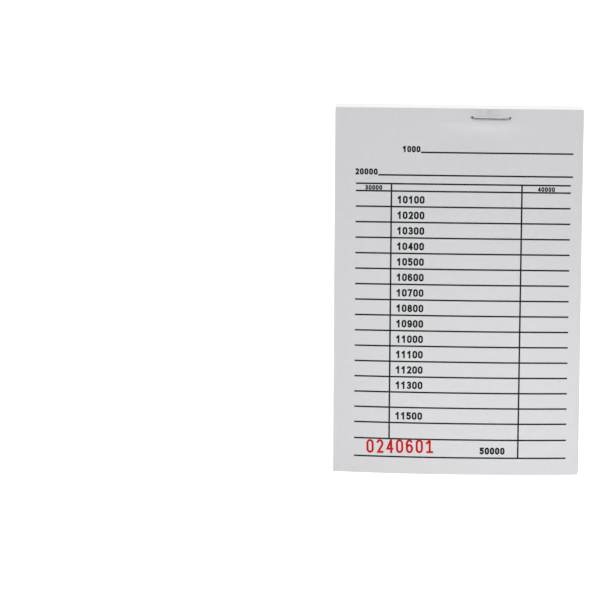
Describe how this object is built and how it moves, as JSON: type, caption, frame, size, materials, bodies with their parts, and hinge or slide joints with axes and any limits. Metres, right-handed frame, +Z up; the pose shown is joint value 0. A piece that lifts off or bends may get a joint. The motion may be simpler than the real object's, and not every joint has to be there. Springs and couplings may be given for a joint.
{
  "type": "duplicate receipt book",
  "caption": "Top-stapled pocket book of ruled two-part receipt forms: white originals and duplicates that turn at a fold below one wire staple, on a buff back sheet.",
  "frame": {"origin": "under the middle of the book, on the surface that it stands on", "axes": "+X to the reader's right across the page, -Y out of the printed face, +Z up to the stapled edge"},
  "size_m": [0.0888, 0.0068, 0.1349],
  "materials": {
    "original_paper": "matte bond",
    "duplicate_paper": "matte bond",
    "buff_paper": "matte uncoated",
    "staple_wire": "bright drawn"
  },
  "bodies": {
    "binding": {"stapled_stubs": "original_paper", "back_sheet": "buff_paper", "staple": "staple_wire"},
    "original_01": {"original_01": "original_paper"},
    "duplicate_01": {"duplicate_01": "duplicate_paper"},
    "original_02": {"original_02": "original_paper"},
    "duplicate_02": {"duplicate_02": "duplicate_paper"},
    "original_03": {"original_03": "original_paper"},
    "duplicate_03": {"duplicate_03": "duplicate_paper"},
    "original_04": {"original_04": "original_paper"},
    "duplicate_04": {"duplicate_04": "duplicate_paper"},
    "original_05": {"original_05": "original_paper"},
    "duplicate_05": {"duplicate_05": "duplicate_paper"},
    "original_06": {"original_06": "original_paper"},
    "duplicate_06": {"duplicate_06": "duplicate_paper"},
    "original_07": {"original_07": "original_paper"},
    "duplicate_07": {"duplicate_07": "duplicate_paper"},
    "original_08": {"original_08": "original_paper"},
    "duplicate_08": {"duplicate_08": "duplicate_paper"},
    "original_09": {"original_09": "original_paper"},
    "duplicate_09": {"duplicate_09": "duplicate_paper"},
    "original_10": {"original_10": "original_paper"},
    "duplicate_10": {"duplicate_10": "duplicate_paper"},
    "original_11": {"original_11": "original_paper"},
    "duplicate_11": {"duplicate_11": "duplicate_paper"},
    "original_12": {"original_12": "original_paper"},
    "duplicate_12": {"duplicate_12": "duplicate_paper"},
    "original_13": {"original_13": "original_paper"},
    "duplicate_13": {"duplicate_13": "duplicate_paper"},
    "original_14": {"original_14": "original_paper"},
    "duplicate_14": {"duplicate_14": "duplicate_paper"},
    "original_15": {"original_15": "original_paper"},
    "duplicate_15": {"duplicate_15": "duplicate_paper"},
    "original_16": {"original_16": "original_paper"},
    "duplicate_16": {"duplicate_16": "duplicate_paper"},
    "original_17": {"original_17": "original_paper"},
    "duplicate_17": {"duplicate_17": "duplicate_paper"},
    "original_18": {"original_18": "original_paper"},
    "duplicate_18": {"duplicate_18": "duplicate_paper"},
    "original_19": {"original_19": "original_paper"},
    "duplicate_19": {"duplicate_19": "duplicate_paper"},
    "original_20": {"original_20": "original_paper"},
    "duplicate_20": {"duplicate_20": "duplicate_paper"},
    "original_21": {"original_21": "original_paper"},
    "duplicate_21": {"duplicate_21": "duplicate_paper"},
    "original_22": {"original_22": "original_paper"},
    "duplicate_22": {"duplicate_22": "duplicate_paper"},
    "original_23": {"original_23": "original_paper"},
    "duplicate_23": {"duplicate_23": "duplicate_paper"},
    "original_24": {"original_24": "original_paper"},
    "duplicate_24": {"duplicate_24": "duplicate_paper"},
    "original_25": {"original_25": "original_paper"},
    "duplicate_25": {"duplicate_25": "duplicate_paper"}
  },
  "joints": [
    {"name": "original_01_turn", "type": "hinge", "parent": "duplicate_01", "child": "original_01", "pos_m": [0, -0.00287, 0.1284], "axis": [-1, 0, 0], "range_deg": [0, 90]},
    {"name": "duplicate_01_turn", "type": "hinge", "parent": "original_02", "child": "duplicate_01", "pos_m": [0, -0.00287, 0.1284], "axis": [-1, 0, 0], "range_deg": [0, 45]},
    {"name": "original_02_turn", "type": "hinge", "parent": "binding", "child": "original_02", "pos_m": [0, -0.00287, 0.1284], "axis": [-1, 0, 0], "range_deg": [0, 30]},
    {"name": "duplicate_02_turn", "type": "hinge", "parent": "binding", "child": "duplicate_02", "pos_m": [0, -0.00287, 0.1284], "axis": [-1, 0, 0], "range_deg": [0, 29.38]},
    {"name": "original_03_turn", "type": "hinge", "parent": "binding", "child": "original_03", "pos_m": [0, -0.00287, 0.1284], "axis": [-1, 0, 0], "range_deg": [0, 28.75]},
    {"name": "duplicate_03_turn", "type": "hinge", "parent": "binding", "child": "duplicate_03", "pos_m": [0, -0.00287, 0.1284], "axis": [-1, 0, 0], "range_deg": [0, 28.13]},
    {"name": "original_04_turn", "type": "hinge", "parent": "binding", "child": "original_04", "pos_m": [0, -0.00287, 0.1284], "axis": [-1, 0, 0], "range_deg": [0, 27.5]},
    {"name": "duplicate_04_turn", "type": "hinge", "parent": "binding", "child": "duplicate_04", "pos_m": [0, -0.00287, 0.1284], "axis": [-1, 0, 0], "range_deg": [0, 26.88]},
    {"name": "original_05_turn", "type": "hinge", "parent": "binding", "child": "original_05", "pos_m": [0, -0.00287, 0.1284], "axis": [-1, 0, 0], "range_deg": [0, 26.25]},
    {"name": "duplicate_05_turn", "type": "hinge", "parent": "binding", "child": "duplicate_05", "pos_m": [0, -0.00287, 0.1284], "axis": [-1, 0, 0], "range_deg": [0, 25.63]},
    {"name": "original_06_turn", "type": "hinge", "parent": "binding", "child": "original_06", "pos_m": [0, -0.00287, 0.1284], "axis": [-1, 0, 0], "range_deg": [0, 25]},
    {"name": "duplicate_06_turn", "type": "hinge", "parent": "binding", "child": "duplicate_06", "pos_m": [0, -0.00287, 0.1284], "axis": [-1, 0, 0], "range_deg": [0, 24.38]},
    {"name": "original_07_turn", "type": "hinge", "parent": "binding", "child": "original_07", "pos_m": [0, -0.00287, 0.1284], "axis": [-1, 0, 0], "range_deg": [0, 23.75]},
    {"name": "duplicate_07_turn", "type": "hinge", "parent": "binding", "child": "duplicate_07", "pos_m": [0, -0.00287, 0.1284], "axis": [-1, 0, 0], "range_deg": [0, 23.13]},
    {"name": "original_08_turn", "type": "hinge", "parent": "binding", "child": "original_08", "pos_m": [0, -0.00287, 0.1284], "axis": [-1, 0, 0], "range_deg": [0, 22.5]},
    {"name": "duplicate_08_turn", "type": "hinge", "parent": "binding", "child": "duplicate_08", "pos_m": [0, -0.00287, 0.1284], "axis": [-1, 0, 0], "range_deg": [0, 21.88]},
    {"name": "original_09_turn", "type": "hinge", "parent": "binding", "child": "original_09", "pos_m": [0, -0.00287, 0.1284], "axis": [-1, 0, 0], "range_deg": [0, 21.25]},
    {"name": "duplicate_09_turn", "type": "hinge", "parent": "binding", "child": "duplicate_09", "pos_m": [0, -0.00287, 0.1284], "axis": [-1, 0, 0], "range_deg": [0, 20.63]},
    {"name": "original_10_turn", "type": "hinge", "parent": "binding", "child": "original_10", "pos_m": [0, -0.00287, 0.1284], "axis": [-1, 0, 0], "range_deg": [0, 20]},
    {"name": "duplicate_10_turn", "type": "hinge", "parent": "binding", "child": "duplicate_10", "pos_m": [0, -0.00287, 0.1284], "axis": [-1, 0, 0], "range_deg": [0, 19.38]},
    {"name": "original_11_turn", "type": "hinge", "parent": "binding", "child": "original_11", "pos_m": [0, -0.00287, 0.1284], "axis": [-1, 0, 0], "range_deg": [0, 18.75]},
    {"name": "duplicate_11_turn", "type": "hinge", "parent": "binding", "child": "duplicate_11", "pos_m": [0, -0.00287, 0.1284], "axis": [-1, 0, 0], "range_deg": [0, 18.13]},
    {"name": "original_12_turn", "type": "hinge", "parent": "binding", "child": "original_12", "pos_m": [0, -0.00287, 0.1284], "axis": [-1, 0, 0], "range_deg": [0, 17.5]},
    {"name": "duplicate_12_turn", "type": "hinge", "parent": "binding", "child": "duplicate_12", "pos_m": [0, -0.00287, 0.1284], "axis": [-1, 0, 0], "range_deg": [0, 16.88]},
    {"name": "original_13_turn", "type": "hinge", "parent": "binding", "child": "original_13", "pos_m": [0, -0.00287, 0.1284], "axis": [-1, 0, 0], "range_deg": [0, 16.25]},
    {"name": "duplicate_13_turn", "type": "hinge", "parent": "binding", "child": "duplicate_13", "pos_m": [0, -0.00287, 0.1284], "axis": [-1, 0, 0], "range_deg": [0, 15.63]},
    {"name": "original_14_turn", "type": "hinge", "parent": "binding", "child": "original_14", "pos_m": [0, -0.00287, 0.1284], "axis": [-1, 0, 0], "range_deg": [0, 15]},
    {"name": "duplicate_14_turn", "type": "hinge", "parent": "binding", "child": "duplicate_14", "pos_m": [0, -0.00287, 0.1284], "axis": [-1, 0, 0], "range_deg": [0, 14.38]},
    {"name": "original_15_turn", "type": "hinge", "parent": "binding", "child": "original_15", "pos_m": [0, -0.00287, 0.1284], "axis": [-1, 0, 0], "range_deg": [0, 13.75]},
    {"name": "duplicate_15_turn", "type": "hinge", "parent": "binding", "child": "duplicate_15", "pos_m": [0, -0.00287, 0.1284], "axis": [-1, 0, 0], "range_deg": [0, 13.13]},
    {"name": "original_16_turn", "type": "hinge", "parent": "binding", "child": "original_16", "pos_m": [0, -0.00287, 0.1284], "axis": [-1, 0, 0], "range_deg": [0, 12.5]},
    {"name": "duplicate_16_turn", "type": "hinge", "parent": "binding", "child": "duplicate_16", "pos_m": [0, -0.00287, 0.1284], "axis": [-1, 0, 0], "range_deg": [0, 11.88]},
    {"name": "original_17_turn", "type": "hinge", "parent": "binding", "child": "original_17", "pos_m": [0, -0.00287, 0.1284], "axis": [-1, 0, 0], "range_deg": [0, 11.25]},
    {"name": "duplicate_17_turn", "type": "hinge", "parent": "binding", "child": "duplicate_17", "pos_m": [0, -0.00287, 0.1284], "axis": [-1, 0, 0], "range_deg": [0, 10.63]},
    {"name": "original_18_turn", "type": "hinge", "parent": "binding", "child": "original_18", "pos_m": [0, -0.00287, 0.1284], "axis": [-1, 0, 0], "range_deg": [0, 10]},
    {"name": "duplicate_18_turn", "type": "hinge", "parent": "binding", "child": "duplicate_18", "pos_m": [0, -0.00287, 0.1284], "axis": [-1, 0, 0], "range_deg": [0, 9.38]},
    {"name": "original_19_turn", "type": "hinge", "parent": "binding", "child": "original_19", "pos_m": [0, -0.00287, 0.1284], "axis": [-1, 0, 0], "range_deg": [0, 8.75]},
    {"name": "duplicate_19_turn", "type": "hinge", "parent": "binding", "child": "duplicate_19", "pos_m": [0, -0.00287, 0.1284], "axis": [-1, 0, 0], "range_deg": [0, 8.13]},
    {"name": "original_20_turn", "type": "hinge", "parent": "binding", "child": "original_20", "pos_m": [0, -0.00287, 0.1284], "axis": [-1, 0, 0], "range_deg": [0, 7.5]},
    {"name": "duplicate_20_turn", "type": "hinge", "parent": "binding", "child": "duplicate_20", "pos_m": [0, -0.00287, 0.1284], "axis": [-1, 0, 0], "range_deg": [0, 6.88]},
    {"name": "original_21_turn", "type": "hinge", "parent": "binding", "child": "original_21", "pos_m": [0, -0.00287, 0.1284], "axis": [-1, 0, 0], "range_deg": [0, 6.25]},
    {"name": "duplicate_21_turn", "type": "hinge", "parent": "binding", "child": "duplicate_21", "pos_m": [0, -0.00287, 0.1284], "axis": [-1, 0, 0], "range_deg": [0, 5.63]},
    {"name": "original_22_turn", "type": "hinge", "parent": "binding", "child": "original_22", "pos_m": [0, -0.00287, 0.1284], "axis": [-1, 0, 0], "range_deg": [0, 5]},
    {"name": "duplicate_22_turn", "type": "hinge", "parent": "binding", "child": "duplicate_22", "pos_m": [0, -0.00287, 0.1284], "axis": [-1, 0, 0], "range_deg": [0, 4.38]},
    {"name": "original_23_turn", "type": "hinge", "parent": "binding", "child": "original_23", "pos_m": [0, -0.00287, 0.1284], "axis": [-1, 0, 0], "range_deg": [0, 3.75]},
    {"name": "duplicate_23_turn", "type": "hinge", "parent": "binding", "child": "duplicate_23", "pos_m": [0, -0.00287, 0.1284], "axis": [-1, 0, 0], "range_deg": [0, 3.13]},
    {"name": "original_24_turn", "type": "hinge", "parent": "binding", "child": "original_24", "pos_m": [0, -0.00287, 0.1284], "axis": [-1, 0, 0], "range_deg": [0, 2.5]},
    {"name": "duplicate_24_turn", "type": "hinge", "parent": "binding", "child": "duplicate_24", "pos_m": [0, -0.00287, 0.1284], "axis": [-1, 0, 0], "range_deg": [0, 1.88]},
    {"name": "original_25_turn", "type": "hinge", "parent": "binding", "child": "original_25", "pos_m": [0, -0.00287, 0.1284], "axis": [-1, 0, 0], "range_deg": [0, 1.25]},
    {"name": "duplicate_25_turn", "type": "hinge", "parent": "binding", "child": "duplicate_25", "pos_m": [0, -0.00287, 0.1284], "axis": [-1, 0, 0], "range_deg": [0, 0.626]}
  ],
  "couplings": [
    {"joint": "duplicate_02_turn", "follows": "original_02_turn", "ratio": 0.97917},
    {"joint": "original_03_turn", "follows": "original_02_turn", "ratio": 0.95833},
    {"joint": "duplicate_03_turn", "follows": "original_02_turn", "ratio": 0.9375},
    {"joint": "original_04_turn", "follows": "original_02_turn", "ratio": 0.91667},
    {"joint": "duplicate_04_turn", "follows": "original_02_turn", "ratio": 0.89583},
    {"joint": "original_05_turn", "follows": "original_02_turn", "ratio": 0.875},
    {"joint": "duplicate_05_turn", "follows": "original_02_turn", "ratio": 0.85417},
    {"joint": "original_06_turn", "follows": "original_02_turn", "ratio": 0.83333},
    {"joint": "duplicate_06_turn", "follows": "original_02_turn", "ratio": 0.8125},
    {"joint": "original_07_turn", "follows": "original_02_turn", "ratio": 0.79167},
    {"joint": "duplicate_07_turn", "follows": "original_02_turn", "ratio": 0.77083},
    {"joint": "original_08_turn", "follows": "original_02_turn", "ratio": 0.75},
    {"joint": "duplicate_08_turn", "follows": "original_02_turn", "ratio": 0.72917},
    {"joint": "original_09_turn", "follows": "original_02_turn", "ratio": 0.70833},
    {"joint": "duplicate_09_turn", "follows": "original_02_turn", "ratio": 0.6875},
    {"joint": "original_10_turn", "follows": "original_02_turn", "ratio": 0.66667},
    {"joint": "duplicate_10_turn", "follows": "original_02_turn", "ratio": 0.64583},
    {"joint": "original_11_turn", "follows": "original_02_turn", "ratio": 0.625},
    {"joint": "duplicate_11_turn", "follows": "original_02_turn", "ratio": 0.60417},
    {"joint": "original_12_turn", "follows": "original_02_turn", "ratio": 0.58333},
    {"joint": "duplicate_12_turn", "follows": "original_02_turn", "ratio": 0.5625},
    {"joint": "original_13_turn", "follows": "original_02_turn", "ratio": 0.54167},
    {"joint": "duplicate_13_turn", "follows": "original_02_turn", "ratio": 0.52083},
    {"joint": "original_14_turn", "follows": "original_02_turn", "ratio": 0.5},
    {"joint": "duplicate_14_turn", "follows": "original_02_turn", "ratio": 0.47917},
    {"joint": "original_15_turn", "follows": "original_02_turn", "ratio": 0.45833},
    {"joint": "duplicate_15_turn", "follows": "original_02_turn", "ratio": 0.4375},
    {"joint": "original_16_turn", "follows": "original_02_turn", "ratio": 0.41667},
    {"joint": "duplicate_16_turn", "follows": "original_02_turn", "ratio": 0.39583},
    {"joint": "original_17_turn", "follows": "original_02_turn", "ratio": 0.375},
    {"joint": "duplicate_17_turn", "follows": "original_02_turn", "ratio": 0.35417},
    {"joint": "original_18_turn", "follows": "original_02_turn", "ratio": 0.33333},
    {"joint": "duplicate_18_turn", "follows": "original_02_turn", "ratio": 0.3125},
    {"joint": "original_19_turn", "follows": "original_02_turn", "ratio": 0.29167},
    {"joint": "duplicate_19_turn", "follows": "original_02_turn", "ratio": 0.27083},
    {"joint": "original_20_turn", "follows": "original_02_turn", "ratio": 0.25},
    {"joint": "duplicate_20_turn", "follows": "original_02_turn", "ratio": 0.22917},
    {"joint": "original_21_turn", "follows": "original_02_turn", "ratio": 0.20833},
    {"joint": "duplicate_21_turn", "follows": "original_02_turn", "ratio": 0.1875},
    {"joint": "original_22_turn", "follows": "original_02_turn", "ratio": 0.16667},
    {"joint": "duplicate_22_turn", "follows": "original_02_turn", "ratio": 0.14583},
    {"joint": "original_23_turn", "follows": "original_02_turn", "ratio": 0.125},
    {"joint": "duplicate_23_turn", "follows": "original_02_turn", "ratio": 0.10417},
    {"joint": "original_24_turn", "follows": "original_02_turn", "ratio": 0.083333},
    {"joint": "duplicate_24_turn", "follows": "original_02_turn", "ratio": 0.0625},
    {"joint": "original_25_turn", "follows": "original_02_turn", "ratio": 0.041667},
    {"joint": "duplicate_25_turn", "follows": "original_02_turn", "ratio": 0.020833}
  ]
}
